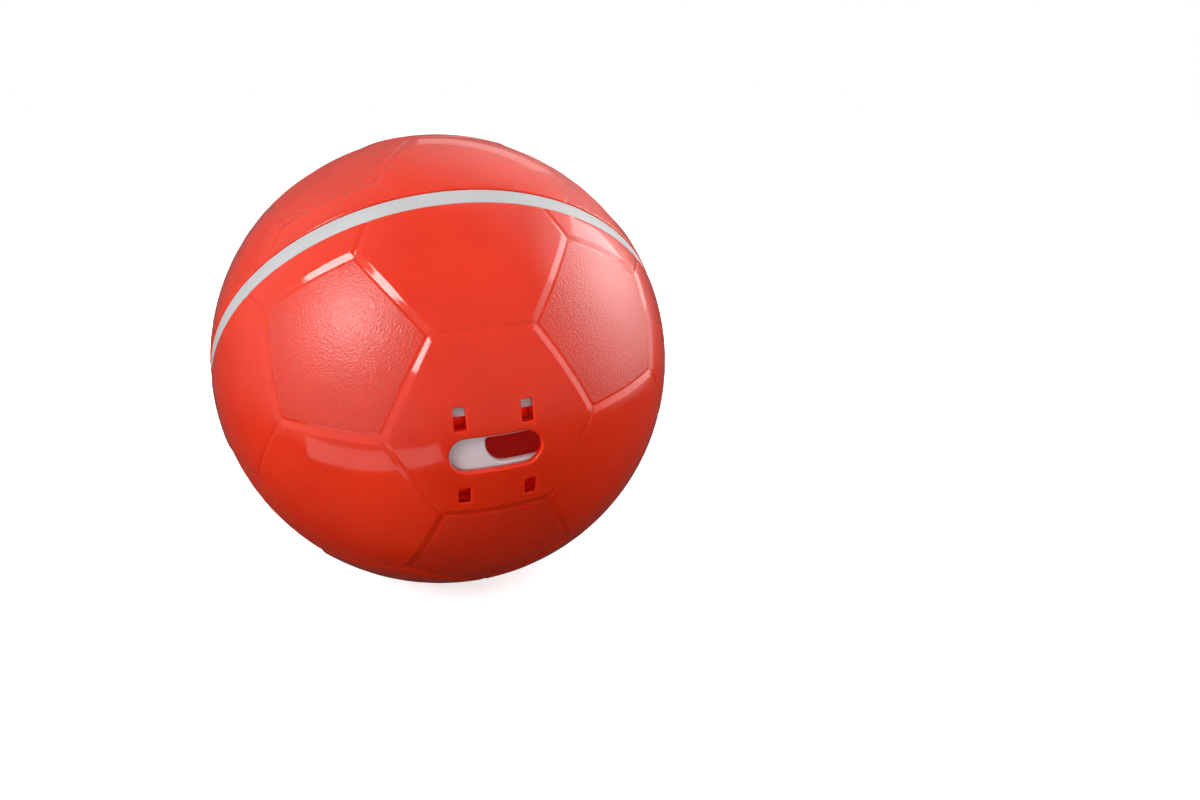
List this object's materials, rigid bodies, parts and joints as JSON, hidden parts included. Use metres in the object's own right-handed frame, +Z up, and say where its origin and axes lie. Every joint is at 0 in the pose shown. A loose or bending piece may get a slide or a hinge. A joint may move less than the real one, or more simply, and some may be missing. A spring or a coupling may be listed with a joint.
{
  "type": "treat ball",
  "caption": "Hollow panelled ball in two half shells on a joining ring, with a slot and a sliding gate that lets treats fall out.",
  "frame": {"origin": "centre of the ball", "axes": "+Z up as the ball lies with its slot to the front, -Y out of the slot, +X along the slot to the right"},
  "size_m": [0.12, 0.1199, 0.12],
  "materials": {
    "red_plastic": "glossy moulded plastic, pentagons with a leather grain",
    "white_plastic": "matte moulded plastic"
  },
  "bodies": {
    "lower_half": {"lower_shell": "red_plastic"},
    "ring": {"joining_ring": "white_plastic"},
    "upper_half": {"upper_shell": "red_plastic"},
    "gate": {"slide_gate": "white_plastic"}
  },
  "joints": [
    {"name": "upper_twist", "type": "hinge", "parent": "lower_half", "child": "ring", "pos_m": [0, 0, 0], "axis": [0, 0.8499, 0.527], "continuous": true},
    {"name": "upper_lift", "type": "slide", "parent": "ring", "child": "upper_half", "axis": [0, 0.8499, 0.527], "range_m": [0, 0.1]},
    {"name": "gate_slide", "type": "hinge", "parent": "lower_half", "child": "gate", "pos_m": [0, 0, 0], "axis": [0, 0, 1], "range_deg": [-8.2, 7.5]}
  ]
}
